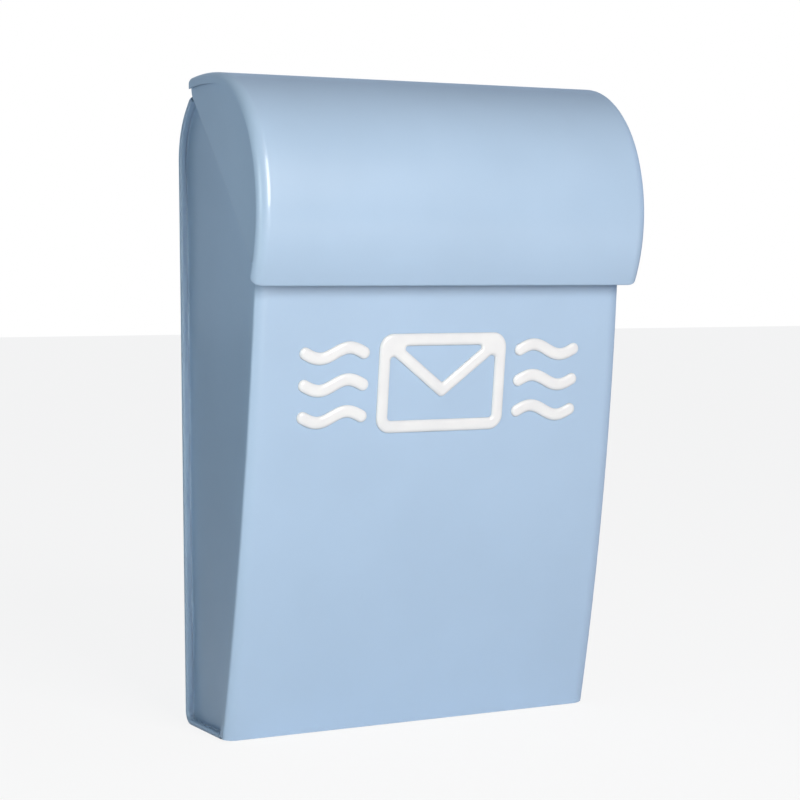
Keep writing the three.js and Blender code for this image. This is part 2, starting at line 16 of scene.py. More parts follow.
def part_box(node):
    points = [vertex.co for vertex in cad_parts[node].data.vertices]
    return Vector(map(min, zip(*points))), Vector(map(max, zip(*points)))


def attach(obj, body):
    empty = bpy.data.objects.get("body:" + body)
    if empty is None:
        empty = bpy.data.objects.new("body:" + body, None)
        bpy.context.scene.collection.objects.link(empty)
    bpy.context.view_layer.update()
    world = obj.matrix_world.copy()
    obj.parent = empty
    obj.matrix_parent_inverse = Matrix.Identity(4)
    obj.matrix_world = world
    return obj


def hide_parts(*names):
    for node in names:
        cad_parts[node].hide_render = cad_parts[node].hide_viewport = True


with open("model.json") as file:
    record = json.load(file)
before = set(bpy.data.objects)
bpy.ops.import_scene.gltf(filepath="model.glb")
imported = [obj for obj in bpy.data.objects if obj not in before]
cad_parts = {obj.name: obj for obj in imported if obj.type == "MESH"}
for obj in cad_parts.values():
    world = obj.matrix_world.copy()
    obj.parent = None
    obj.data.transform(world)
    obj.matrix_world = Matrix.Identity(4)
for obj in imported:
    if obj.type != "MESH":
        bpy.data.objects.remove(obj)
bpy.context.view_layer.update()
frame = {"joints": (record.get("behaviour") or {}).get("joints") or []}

MM = 0.001
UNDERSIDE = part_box("back_bottom_panel")[0].z


def high(node, axis):
    """A node's highest coordinate along an axis, in drawing millimetres."""
    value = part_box(node)[1][axis]
    return (value - UNDERSIDE if axis == 2 else value) / MM


def low(node, axis):
    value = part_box(node)[0][axis]
    return (value - UNDERSIDE if axis == 2 else value) / MM


# ---------- Dimensions, in millimetres ----------
SHEET = 0.8
CREVICE = 0.3  # between sheets that touch
PAINT_EDGE = 0.22  # radius of a painted sheet edge

HALF_BODY = high("front_panel", 0)
HALF_BACK = high("back_bottom_panel", 0) - 0.02
FRONT_TAPER = 0.0092  # how much narrower each side of the front gets, per millimetre of height
FRONT_TOP = high("front_panel", 2)
BOTTOM_DEPTH = 67
FRONT_CHORD_DEPTH = 52  # how much further out the front is at the lid's edge than at the underside
FRONT_BOW = 5.5
FRONT_ROLL = (12, 35)  # radius and turn of the soft roll at the front's sides
FRONT_EDGE = 2.2  # radius of the tighter bend that follows it
FRONT_BEAD = 9
FRONT_HEM = 11  # how far the hem along the front's top edge reaches down
FRONT_TUCK = 1.5

SIDE_FACE = 119.5
SIDE_BEND = 1.2  # inside the bend where a side plate turns out to its flange
FLANGE_TIP = 123.6
FLANGE_COVER = 1.6  # how far the front reaches past a side plate's flange
FLANGE_CORNER = 4

RIM = 3  # thickness of the folded rim round the back and bottom
RIM_LEG = 2.2
HEEL_RADIUS = 8
BACK_TOP = 350  # where the flat back ends and turns in to the lip
CROWN_DROP = 43  # slope of that crown, in degrees, between its upper and lower bend
CROWN_UPPER = 6
CROWN_LOWER = 44
LIP_HEIGHT = high("back_bottom_panel", 2)
LIP_FRONT = -47
LIP_GAP = 0.5  # between a side plate's top and the lip
INSIDE_HALF = 118.4  # half the width of what lies between the side plates
FRONT_HEM_HALF = INSIDE_HALF - 4
TOE_RADIUS = 2.4
TOE_HEIGHT = 12
CRIMP_DEPTH = 1.7  # how far a crimp mark bites into the rim's leg
CRIMP_START = 75.0  # along the rim from its top, below the turned-in crown
CRIMP_COUNTS = (3, 10)  # fewest and most marks in a group
CRIMP_LENGTHS = (1.6, 2.2, 3.2, 6.0)
CRIMP_GAPS = (1.6, 4.0)  # least and most between marks
CRIMP_BREAKS = (8, 45)  # least and most more between groups
KEYHOLE_X = 75
KEYHOLE_Z = 318
KEYHOLE_SHAPE = (5, 2.5, 12)  # radius of the entry, half width of the slot, rise of the slot
LOWER_HOLE_Z = 60
LOWER_HOLE_RADIUS = 3.5

HALF_LID = high("lid_shell", 0) - 0.05
LID_EDGE = low("lid_shell", 2)
LID_REAR = (-33.0, 399.25)
LID_RISE = 3.6
LID_ARCS = ((219, 12.2), (70, 58), (96.2, 52.7))
LID_ROLL = (4.2, 8.0)  # radius of the rolled side edges at the rear and in front
LID_ROLL_CHANGE = (0.15, 0.6)  # shares of the lid's length between which that radius changes
LID_BAND = (7.0, 4.9)  # depth of the rolled side edge at the rear and at the lower end
LID_STRAIGHT = 0.3  # least straight stretch past the roll
LID_CORNER = (8, 5)  # half axes of the rounded lower corners
LID_HEM = 10
LID_REAR_HEM = 13
LID_ROWS = 150
LEAST_HEM = 1  # length of a hem where it runs out, in the lid's corners
FOLD = 0.9  # outer radius of a flat-pressed fold
LEAST_FOLD = 0.5  # the same where a hem runs out

CHEEK_FACE = 128.4
CHEEK_INSET = 3.2
CHEEK_CHIN = (-34.8, 386.7)  # rear end of the end plate's straight lower edge
CHEEK_NOSE = (-124.5, 284.0)
CHEEK_TOP = (-33.2, 395.9)  # its upper rear corner
CHEEK_REAR = ((-33.2, 392.6), (-33.6, 389.6))  # its short rear edge, down to the chin
CHEEK_BOW = 1.6
CHEEK_BOW_STEPS = 30
CHEEK_ROWS = 60
CHEEK_HEM = 5
CHEEK_LEAST_HEM = 0.8
CHEEK_HEM_ROWS = 8  # rows over which the hem grows from its least size at the rear
CHEEK_OVERLAP = 7  # how far a side plate reaches up behind the end plate

HINGE = Vector(frame["joints"][0]["pos_m"])
HINGE_Y = HINGE.y / MM
HINGE_Z = (HINGE.z - UNDERSIDE) / MM
KNUCKLE_RADIUS = 4.15
HINGE_BORE = 1.5
PIN_RADIUS = 1.25
LEAF = 1.0
LEAF_FRONT = -46
KNUCKLE_COUNT = 9
KNUCKLE_LENGTH = 26
KNUCKLE_GAP = 0.5

STROKE = 7.5
EMBLEM_HEIGHT = 213
EMBLEM_RAISE = 1.7
EMBLEM_EDGE = 2.6  # width of the rounding along a stroke's edges
ENVELOPE = (86, 60, 9)  # width, height and corner radius
FLAP_DROP = 30
WAVE_START = 53
WAVE_LENGTH = 38
WAVE_RISE = 3.2
WAVE_SPACING = 19


# ---------- Bent lines ----------
class Line:
    """Points along a bent line in a plane, each with its direction of travel in radians."""

    def __init__(self, points, angles):
        self.points = [Vector(p) for p in points]
        self.angles = list(angles)

    def left(self, i):
        return Vector((-math.sin(self.angles[i]), math.cos(self.angles[i])))

    def offset(self, distance):
        moved = [p + self.left(i) * distance for i, p in enumerate(self.points)]
        return Line(moved, self.angles)

    def rising(self, bottom, top):
        """The part of a line that rises all the way, between two heights."""
        kept = [i for i, p in enumerate(self.points) if bottom < p.y < top]
        points = [self.points[i] for i in kept]
        angles = [self.angles[i] for i in kept]
        for at, z in ((0, bottom), (len(points), top)):
            i = kept[0] - 1 if at == 0 else kept[-1]
            below, over = self.points[i], self.points[i + 1]
            points.insert(at, below.lerp(over, (z - below.y) / (over.y - below.y)))
            angles.insert(at, self.angles[i + 1])
        return Line(points, angles)


def stops(length, spacing, support=0.6):
    """Places along a straight run: evenly spaced, with one close to each end to keep flats flat."""
    count = max(1, math.ceil(length / spacing))
    places = {round(length * i / count, 6) for i in range(1, count + 1)}
    if length > 4 * support:
        places |= {support, round(length - support, 6)}
    return sorted(places)


def trace(start, heading, moves, step=5.0, spacing=10.0):
    """A bent line. Each move is (run, bend, radius): straight for the run, then left by the bend in
    degrees. `step` and `spacing` are the furthest apart that points lie, in degrees and millimetres."""
    at = Vector(start)
    angle = math.radians(heading)
    points, angles = [at.copy()], [angle]
    for run, bend, radius in moves:
        along = Vector((math.cos(angle), math.sin(angle)))
        if run > 0:
            for place in stops(run, spacing):
                points.append(at + along * place)
                angles.append(angle)
            at = points[-1].copy()
        if bend:
            side = math.copysign(1, bend)
            centre = at + Vector((-along.y, along.x)) * side * radius
            count = math.ceil(abs(bend) / min(step, math.degrees(spacing / radius)))
            for i in range(1, count + 1):
                turned = angle + math.radians(bend) * i / count
                spoke = Vector((math.sin(turned), -math.cos(turned))) * side * radius
                points.append(centre + spoke)
                angles.append(turned)
            at = points[-1].copy()
            angle += math.radians(bend)
    return Line(points, angles)


def mirrored(half):
    """A section drawn from x = 0 outwards, with its mirror image in front of it."""
    other = Line([(-p.x, p.y) for p in half.points[1:]], [-a for a in half.angles[1:]])
    points = other.points[::-1] + half.points
    return Line(points, other.angles[::-1] + half.angles)


FRONT_CHORD = math.hypot(LID_EDGE, FRONT_CHORD_DEPTH)
FRONT_RADIUS = FRONT_CHORD**2 / (8 * FRONT_BOW) + FRONT_BOW / 2
FRONT_HALF_BEND = math.degrees(math.asin(FRONT_CHORD / 2 / FRONT_RADIUS))
FOOT_LEAN = math.degrees(math.atan2(FRONT_CHORD_DEPTH, LID_EDGE)) + FRONT_HALF_BEND


def front_line():
    """The front sheet's outer face, from below the underside to above its top edge."""
    foot = math.radians(FOOT_LEAN)
    spare = 0.6
    start = math.radians(FOOT_LEAN + spare)
    centre = Vector((-BOTTOM_DEPTH + FRONT_RADIUS * math.cos(foot), FRONT_RADIUS * math.sin(foot)))
    first = centre - Vector((math.cos(start), math.sin(start))) * FRONT_RADIUS
    bend = 2 * FRONT_HALF_BEND + 2.4 + spare
    return trace(first, 90 + FOOT_LEAN + spare, [(0, -bend, FRONT_RADIUS)], spacing=4)


def squeezed(x, fixed, old, new):
    """Moves `old` to `new` and what lies between it and `fixed` in proportion."""
    return fixed + (x - fixed) * (new - fixed) / (old - fixed)


def front_half(z):
    """Half of the front's width at a height."""
    return HALF_BODY + 0.5 - FRONT_TAPER * z


def shell_line(inset, bottom_run, spacing=6.0, corner=(0, 0)):
    """The back and bottom sheet from its lip down the back and forward along the bottom."""
    sin, cos = math.sin(math.radians(CROWN_DROP)), math.cos(math.radians(CROWN_DROP))
    rise = LIP_HEIGHT - BACK_TOP - CROWN_UPPER * (1 - cos) - CROWN_LOWER * cos
    run = rise / sin
    rear = CROWN_UPPER * sin + run * cos + CROWN_LOWER * (1 - sin)
    moves = [
        (0, -CROWN_DROP, CROWN_UPPER - inset),
        (run, CROWN_DROP - 90, CROWN_LOWER - inset),
        (BACK_TOP - HEEL_RADIUS, -90, HEEL_RADIUS - inset),
        (bottom_run - HEEL_RADIUS, *corner),
    ]
    return trace((-rear, LIP_HEIGHT - inset), 0, moves, spacing=spacing)


def lid_line(inset=0.0):
    """The lid's barrel from its rear end forward and down to its lower edge."""
    rise = math.radians(LID_RISE)
    start = Vector(LID_REAR) - Vector((math.sin(rise), math.cos(rise))) * inset
    moves = [(0, bend, radius - inset) for radius, bend in LID_ARCS]
    return trace(start, 180 - LID_RISE, moves, step=1.5, spacing=2.5)


# ---------- Meshes ----------
def grid(bm, rows):
    """Joins rows of points by quads, and returns the rows of vertices."""
    made = [[bm.verts.new(p) for p in row] for row in rows]
    for near, far in zip(made, made[1:]):
        for i in range(len(near) - 1):
            bm.faces.new((near[i], near[i + 1], far[i + 1], far[i]))
    return made


def fringe(bm, row, limit, line):
    """Carries on the middle of a row of vertices, out to x = `limit`, along a (y, z) line from it."""
    middle = [v for v in row if abs(v.co.x) < limit + 0.01]
    for p in line.points[1:]:
        onward = [bm.verts.new((v.co.x, p.x, p.y)) for v in middle]
        for i in range(len(middle) - 1):
            bm.faces.new((middle[i], middle[i + 1], onward[i + 1], onward[i]))
        middle = onward


def sweep(section, path, outward):
    """Rows of points: a section of (x, depth) carried along a (y, z) path. `outward` is 1 if the outer
    side is to the left of the path."""
    rows = []
    for i, p in enumerate(path.points):
        out = path.left(i) * outward
        rows.append([(s.x, p.x - out.x * s.y, p.y - out.y * s.y) for s in section.points])
    return rows


def bisect(bm, point, normal):
    """Cuts away all that lies on the side of a plane that its normal points to."""
    everything = bm.verts[:] + bm.edges[:] + bm.faces[:]
    bmesh.ops.bisect_plane(bm, geom=everything, plane_co=point, plane_no=normal, clear_outer=True)


def face_outwards(bm, place, direction):
    """Turns all faces the way that the one nearest to a place should face."""
    bmesh.ops.recalc_face_normals(bm, faces=bm.faces[:])
    nearest = min(bm.faces, key=lambda f: (f.calc_center_median() - Vector(place)).length)
    if nearest.normal.dot(Vector(direction)) < 0:
        bmesh.ops.reverse_faces(bm, faces=bm.faces[:])


def piece(name, bm, body, nodes, material):
    """Puts a mesh drawn in millimetres into the scene as one piece of the object."""
    bm.transform(Matrix.Translation((0, 0, UNDERSIDE)) @ Matrix.Scale(MM, 4))
    mesh = bpy.data.meshes.new(name)
    bm.to_mesh(mesh)
    bm.free()
    mesh.shade_smooth()
    mesh.materials.append(material)
    obj = bpy.data.objects.new(name, mesh)
    bpy.context.scene.collection.objects.link(obj)
    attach(obj, body)
    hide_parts(*nodes)
    return obj


def thicken(obj):
    """Gives a surface a sheet's thickness behind its outer face."""
    solid = obj.modifiers.new("sheet", "SOLIDIFY")
    solid.thickness = SHEET * MM
    solid.offset = -1
    solid.use_quality_normals = True


def soften(obj, radius=PAINT_EDGE, degrees=40, segments=3):
    """Rounds the sharp edges, as paint does."""
    bevel = obj.modifiers.new("paint_edge", "BEVEL")
    bevel.width = radius * MM
    bevel.segments = segments
    bevel.limit_method = "ANGLE"
    bevel.angle_limit = math.radians(degrees)
    bevel.harden_normals = True
    weighted = obj.modifiers.new("flat_shading", "WEIGHTED_NORMAL")
    weighted.keep_sharp = True


def settle(obj):
    """Applies a piece's modifiers."""
    evaluated = obj.evaluated_get(bpy.context.evaluated_depsgraph_get())
    mesh = bpy.data.meshes.new_from_object(evaluated)
    obj.modifiers.clear()
    obj.data = mesh


# ---------- Materials ----------
def new_material(name, colour, roughness, metallic=0.0):
    material = bpy.data.materials.new(name)
    material.use_nodes = True
    shader = material.node_tree.nodes["Principled BSDF"]
    shader.inputs["Base Color"].default_value = (*colour, 1)
    shader.inputs["Roughness"].default_value = roughness
    shader.inputs["Metallic"].default_value = metallic
    return material, shader


def add_noise(material, scale, detail=2.0, stretch=(1, 1, 1)):
    nodes, links = material.node_tree.nodes, material.node_tree.links
    place = nodes.new("ShaderNodeTexCoord")
    mapping = nodes.new("ShaderNodeMapping")
    mapping.inputs["Scale"].default_value = stretch
    noise = nodes.new("ShaderNodeTexNoise")
    noise.inputs["Scale"].default_value = scale
    noise.inputs["Detail"].default_value = detail
    links.new(place.outputs["Object"], mapping.inputs["Vector"])
    links.new(mapping.outputs["Vector"], noise.inputs["Vector"])
    return noise.outputs["Fac"]


def spread(material, value, low_value, high_value):
    """Maps the middle of a noise's range to a range of values."""
    remap = material.node_tree.nodes.new("ShaderNodeMapRange")
    remap.inputs["From Min"].default_value = 0.3
    remap.inputs["From Max"].default_value = 0.7
    remap.inputs["To Min"].default_value = low_value
    remap.inputs["To Max"].default_value = high_value
    material.node_tree.links.new(value, remap.inputs["Value"])
    return remap.outputs["Result"]


def blend_colours(material, factor, first, second):
    mix = material.node_tree.nodes.new("ShaderNodeMix")
    mix.data_type = "RGBA"
    mix.inputs["A"].default_value = (*first, 1)
    mix.inputs["B"].default_value = (*second, 1)
    material.node_tree.links.new(factor, mix.inputs["Factor"])
    return mix.outputs["Result"]


def add_bump(material, shader, height, distance, strength=1.0):
    bump = material.node_tree.nodes.new("ShaderNodeBump")
    bump.inputs["Strength"].default_value = strength
    bump.inputs["Distance"].default_value = distance
    links = material.node_tree.links
    links.new(height, bump.inputs["Height"])
    links.new(bump.outputs["Normal"], shader.inputs["Normal"])
    return bump


def make_paint(name, colour):
    """Sprayed and baked paint: even colour, a faint orange peel, and a thin gloss over it."""
    material, shader = new_material(name, colour, 0.34)
    links = material.node_tree.links
    deeper = tuple(c * 0.955 for c in colour)
    cloud = spread(material, add_noise(material, 14), 0, 1)
    links.new(blend_colours(material, cloud, colour, deeper), shader.inputs["Base Color"])
    links.new(spread(material, add_noise(material, 45), 0.30, 0.38), shader.inputs["Roughness"])
    shader.inputs["Coat Weight"].default_value = 0.45
    shader.inputs["Coat Roughness"].default_value = 0.12
    add_bump(material, shader, add_noise(material, 620, detail=3), 0.00002)
    return material


def make_enamel():
    """White gloss enamel, a little thicker than the paint."""
    material, shader = new_material("white_enamel", (0.80, 0.83, 0.85), 0.28)
    links = material.node_tree.links
    cloud = spread(material, add_noise(material, 60), 0, 1)
    tint = blend_colours(material, cloud, (0.82, 0.85, 0.87), (0.77, 0.80, 0.83))
    links.new(tint, shader.inputs["Base Color"])
    shader.inputs["Coat Weight"].default_value = 0.5
    shader.inputs["Coat Roughness"].default_value = 0.08
    add_bump(material, shader, add_noise(material, 420), 0.00002)
    return material


def make_steel():
    """Zinc-plated steel, drawn lengthways."""
    material, shader = new_material("zinc_steel", (0.56, 0.57, 0.58), 0.36, metallic=1.0)
    links = material.node_tree.links
    grain = add_noise(material, 900, detail=4, stretch=(0.04, 1, 1))
    links.new(spread(material, grain, 0.28, 0.46), shader.inputs["Roughness"])
    cloud = spread(material, add_noise(material, 70), 0, 1)
    tint = blend_colours(material, cloud, (0.60, 0.61, 0.62), (0.47, 0.48, 0.49))
    links.new(tint, shader.inputs["Base Color"])
    add_bump(material, shader, grain, 0.00003)
    return material


BODY_PAINT = make_paint("body_paint", (0.405, 0.565, 0.765))
LID_PAINT = make_paint("lid_paint", (0.415, 0.575, 0.77))
ENAMEL = make_enamel()
STEEL = make_steel()


# ---------- Body ----------
def make_front_panel():
    """The bowed front, rolled back at its sides, turned in behind the side plates' edges, and hemmed
    along its top."""
    roll, turn = FRONT_ROLL
    sin, cos = math.sin(math.radians(turn)), math.cos(math.radians(turn))
    flat = HALF_BODY - roll * sin - FRONT_EDGE * (1 - sin)
    depth = roll * (1 - cos) + FRONT_EDGE * cos
    half = trace((0, 0), 0, [
        (FRONT_HEM_HALF, 0, 0),
        (flat - FRONT_HEM_HALF, turn, roll),
        (0, 90 - turn, FRONT_EDGE),
        (FRONT_BEAD - depth - FRONT_TUCK, 90, FRONT_TUCK),
        (HALF_BODY - SIDE_FACE - FRONT_TUCK - CREVICE, 0, 0),
    ], spacing=30)
    section = mirrored(half)
    path = front_line().offset(-0.1).rising(0.25, FRONT_TOP - SHEET)
    rows = sweep(section, path, 1)
    leg_end, tuck = SIDE_FACE + CREVICE, HALF_BODY - FRONT_TUCK
    for row in rows:
        for i, (x, y, z) in enumerate(row):
            narrower = HALF_BODY - front_half(z)
            moved = abs(x) - narrower * min(1, abs(x) / (flat - 1))
            if section.points[i].y > FRONT_BEAD - 0.01:
                moved = squeezed(abs(x), leg_end, tuck, tuck - narrower)
            row[i] = (math.copysign(moved, x), y, z)
    bm = bmesh.new()
    made = grid(bm, rows)
    top = path.points[-1]
    upward = math.degrees(path.angles[-1])
    hem = trace(top, upward, [(0, -180, SHEET), (FRONT_HEM, 0, 0)], step=20)
    fringe(bm, made[-1], FRONT_HEM_HALF, hem)
    face_outwards(bm, (0, -100, 100), (0, -1, 0))
    panel = piece("front_panel_fine", bm, "body", ["front_panel"], BODY_PAINT)
    thicken(panel)
    soften(panel)


def crimp_marks(length):
    """Where the seam's closing tool has bitten into the rim: short marks in irregular groups."""
    chance = random.Random(5)
    at, marks = CRIMP_START, []
    while at < length:
        for _ in range(chance.randint(*CRIMP_COUNTS)):
            size = chance.choice(CRIMP_LENGTHS)
            marks.append((at, at + size))
            at += size + chance.uniform(*CRIMP_GAPS)
        at += chance.uniform(*CRIMP_BREAKS)
    return marks


def make_back_bottom_panel():
    """Back and bottom in one sheet, its side edges folded round the side plates' flanges."""
    fold = RIM / 2
    half = trace((0, 0), 0, [
        (INSIDE_HALF, 0, 0),
        (HALF_BACK - fold - INSIDE_HALF, 180, fold),
        (RIM_LEG, 0, 0),
    ], step=12, spacing=30)
    rim_end = BOTTOM_DEPTH - FRONT_BEAD / math.cos(math.radians(FOOT_LEAN)) - CREVICE
    path = shell_line(0, rim_end, spacing=0.8)
    rows = sweep(mirrored(half), path, 1)
    bite_rim(rows, path)
    bm = bmesh.new()
    made = grid(bm, rows)
    lip_rear = path.points[0].x
    fringe(bm, made[0], INSIDE_HALF, trace((lip_rear, LIP_HEIGHT), 180, [(lip_rear - LIP_FRONT, 0, 0)]))
    fringe(bm, made[-1], INSIDE_HALF, toe_line(rim_end))
    face_outwards(bm, (0, 0, 150), (0, 1, 0))
    nodes = ["back_bottom_panel"]
    panel = piece("back_bottom_panel_fine", bm, "body", nodes, BODY_PAINT)
    thicken(panel)
    cut(panel, wall_holes())
    soften(panel)


def bite_rim(rows, path):
    """Draws the tips of the rim's legs back at the crimp marks."""
    lengths = [(b - a).length for a, b in zip(path.points, path.points[1:])]
    marks = crimp_marks(sum(lengths))
    travelled = 0.0
    for row, step in zip(rows, [*lengths, 0]):
        if any(start <= travelled <= end for start, end in marks):
            row[0] = (row[0][0] - CRIMP_DEPTH, *row[0][1:])
            row[-1] = (row[-1][0] + CRIMP_DEPTH, *row[-1][1:])
        travelled += step


def toe_line(rim_end):
    """The bottom's front edge, turned up behind the front sheet."""
    bend = 90 - FOOT_LEAN
    reach = BOTTOM_DEPTH - (SHEET + CREVICE + 0.1) / math.cos(math.radians(FOOT_LEAN))
    corner = TOE_RADIUS * math.tan(math.radians(bend / 2))
    return trace((-rim_end, 0), 180, [(reach - rim_end - corner, -bend, TOE_RADIUS), (TOE_HEIGHT, 0, 0)])


def side_outline():
    """The outer edge of a side plate's flange: down the back, along the bottom and up the front."""
    inset = 2 * SHEET + CREVICE
    front = front_line().offset(SHEET + CREVICE - FRONT_BEAD)
    foot = front.rising(inset, FRONT_TOP).points[0]
    bend = 90 - FOOT_LEAN
    corner = FLANGE_CORNER * math.tan(math.radians(bend / 2))
    back = shell_line(inset, -foot.x - corner, 4, corner=(-bend, FLANGE_CORNER))
    rising = front.rising(back.points[-1].y + 0.3, FRONT_TOP + 6)
    return Line(back.points + rising.points, back.angles + rising.angles)


def make_side_panel(side, name):
    """A flat plate whose back, bottom and front edges bend out as flanges. Its top is cut level under
    the lip, and along the slope of the lid's end plate."""
    outline = side_outline()
    section = trace((FLANGE_TIP, 0), 180, [(FLANGE_TIP - SIDE_FACE - SIDE_BEND, -90, SIDE_BEND)], step=15)
    bend_end = SIDE_FACE + SIDE_BEND
    rows = []
    for i, p in enumerate(outline.points):
        inner = outline.left(i) * -1
        reach = FLANGE_TIP
        if p.x < -BOTTOM_DEPTH / 2:
            reach = min(FLANGE_TIP, front_half(p.y) - FLANGE_COVER)
        row = []
        for s in section.points:
            across = squeezed(s.x, bend_end, FLANGE_TIP, reach) if s.y == 0 else s.x
            row.append((side * across, p.x + inner.x * s.y, p.y + inner.y * s.y))
        rows.append(row)
    bm = bmesh.new()
    made = grid(bm, rows)
    corner = bm.verts.new((side * SIDE_FACE, LIP_FRONT, LIP_HEIGHT))
    plate = bm.faces.new([*(row[-1] for row in made), corner])
    bmesh.ops.triangulate(bm, faces=[plate])
    bmesh.ops.dissolve_degenerate(bm, edges=bm.edges[:], dist=0.01)
    bisect(bm, (0, 0, LIP_HEIGHT - SHEET - LIP_GAP), (0, 0, 1))
    slope = Vector((0, CHEEK_NOSE[0] - CHEEK_CHIN[0], CHEEK_NOSE[1] - CHEEK_CHIN[1])).normalized()
    upward = Vector((0, slope.z, -slope.y))
    bisect(bm, Vector((0, *CHEEK_CHIN)) + upward * CHEEK_OVERLAP, upward)
    face_outwards(bm, (side * SIDE_FACE, -40, 150), (side, 0, 0))
    panel = piece(name + "_fine", bm, "body", [name], BODY_PAINT)
    thicken(panel)
    soften(panel)


def wall_holes():
    """Cutters for the two keyholes and the lower hole in the back."""
    outlines = [keyhole_outline(x, KEYHOLE_Z, *KEYHOLE_SHAPE) for x in (-KEYHOLE_X, KEYHOLE_X)]
    outlines.append(circle_outline(0, LOWER_HOLE_Z, LOWER_HOLE_RADIUS))
    return [hole_cutter(outline) for outline in outlines]


def circle_outline(x, z, radius, start=0, end=360, steps=40):
    angles = [math.radians(start + (end - start) * i / steps) for i in range(steps)]
    return [(x + radius * math.cos(a), z + radius * math.sin(a)) for a in angles]


def keyhole_outline(x, z, entry, slot, length):
    """A round entry below a narrow slot with a round top."""
    opening = math.degrees(math.asin(slot / entry))
    return (circle_outline(x, z, entry, 90 + opening, 450 - opening)
            + circle_outline(x, z + length, slot, 0, 180, 16)
            + [(x - slot, z + length)])


def hole_cutter(outline):
    bm = bmesh.new()
    face = bm.faces.new([bm.verts.new((x, 4, z)) for x, z in outline])
    moved = bmesh.ops.extrude_face_region(bm, geom=[face])["geom"]
    bmesh.ops.translate(bm, verts=[v for v in moved if isinstance(v, bmesh.types.BMVert)], vec=(0, -8, 0))
    bmesh.ops.recalc_face_normals(bm, faces=bm.faces[:])
    bm.transform(Matrix.Translation((0, 0, UNDERSIDE)) @ Matrix.Scale(MM, 4))
    mesh = bpy.data.meshes.new("cutter")
    bm.to_mesh(mesh)
    bm.free()
    cutter = bpy.data.objects.new("cutter", mesh)
    bpy.context.scene.collection.objects.link(cutter)
    return cutter


def cut(obj, cutters):
    """Cuts holes, and removes the cutters."""
    for cutter in cutters:
        boolean = obj.modifiers.new("hole", "BOOLEAN")
        boolean.object = cutter
        boolean.operation = "DIFFERENCE"
        boolean.solver = "EXACT"
    settle(obj)
    for cutter in cutters:
        bpy.data.objects.remove(cutter)


# ---------- Lid ----------
def fade(value, start, end):
    """1 up to `start`, falling smoothly to 0 at `end`."""
    t = min(1.0, max(0.0, (value - start) / (end - start)))
    return 1 - t * t * (3 - 2 * t)


def lid_section():
    """Places across the lid from edge to edge: (x on the flat, share of the roll's turn)."""
    half = [(x, 0.0) for x in (0, 30, 60, 90, 105, 112, 116, 118, 119.5, 120.5, 121.3)]
    half += [(HALF_LID, i / 20) for i in range(21)]
    half += [(HALF_LID, 1 + i / 3) for i in range(1, 4)]
    return [(-x, -share) for x, share in half[:0:-1]] + half


def lid_column(line, x, share):
    """One hem-to-hem line of points down the lid, at one place across it."""
    rolled = abs(x) == HALF_LID
    side = math.copysign(1, x)
    count = len(line.points)
    surface = []
    for i, p in enumerate(line.points):
        out = line.left(i) * -1
        band = LID_BAND[0] + (LID_BAND[1] - LID_BAND[0]) * i / (count - 1)
        radius = LID_ROLL[1] + (LID_ROLL[0] - LID_ROLL[1]) * fade(i / count, *LID_ROLL_CHANGE)
        straight = max(LID_STRAIGHT, band - radius)
        full = math.acos(1 - (band - straight) / radius)
        turn = min(abs(share), 1) * full
        flat_end = HALF_LID - radius * math.sin(full)
        across = side * (flat_end + radius * math.sin(turn)) if rolled else x
        depth = radius * (1 - math.cos(turn)) + straight * max(0, abs(share) - 1) if rolled else 0
        normal = Vector((side * math.sin(turn), out.x * math.cos(turn), out.y * math.cos(turn)))
        surface.append((Vector((across, p.x - out.x * depth, p.y - out.y * depth)), normal))
    width, height = LID_CORNER
    edge_x = abs(surface[-1][0].x)
    beyond = max(0.0, edge_x - (HALF_LID - width)) / width
    edge = LID_EDGE + 0.05 + height * (1 - math.sqrt(max(0.0, 1 - beyond**2)))
    inner = fade(edge_x, HALF_LID - width, HALF_LID - 3)
    radius = LEAST_FOLD + (FOLD - LEAST_FOLD) * inner
    # A fold reaches past the end of its line by its radius, and the lower one does so at a slant.
    lower = trimmed(surface, lambda p: p.z < edge + radius * 0.87)
    both = trimmed(lower[::-1], lambda p: p.y > LID_REAR[0] - radius)[::-1]
    rear_hem = folded(both[::-1], radius, LEAST_HEM + (LID_REAR_HEM - LEAST_HEM) * inner)
    front_hem = folded(both, radius, LEAST_HEM + (LID_HEM - LEAST_HEM) * inner)
    return rear_hem[::-1] + resampled([p for p, _ in both], LID_ROWS) + front_hem


def trimmed(surface, outside):
    """The stretch of a line of (point, normal) before it first goes outside."""
    kept = [surface[0]]
    for here, there in zip(surface, surface[1:]):
        if outside(there[0]):
            near, far = 0.0, 1.0
            for _ in range(20):
                share = (near + far) / 2
                if outside(here[0].lerp(there[0], share)):
                    far = share
                else:
                    near = share
            kept.append((here[0].lerp(there[0], near), here[1].lerp(there[1], near)))
            return kept
        kept.append(there)
    return kept


def folded(surface, radius, length, steps=8, legs=5):
    """Points of a flat-pressed fold past the end of a line: round it, then back behind it."""
    end, normal = surface[-1]
    along = (end - surface[-2][0]).normalized()
    centre = end - normal * radius
    points = []
    for i in range(1, steps + 1):
        angle = math.pi * i / steps
        points.append(centre + normal * radius * math.cos(angle) + along * radius * math.sin(angle))
    behind = [p - n * 2 * radius for p, n in surface[::-1]]
    reached = resampled(shortened(behind, length), legs + 1)
    return points + reached[1:]


def shortened(points, length):
    """The first stretch of a line, of that length."""
    kept, left = [points[0]], length
    for here, there in zip(points, points[1:]):
        step = (there - here).length
        if step >= left:
            return kept + [here.lerp(there, left / step)]
        kept.append(there)
        left -= step
    return kept


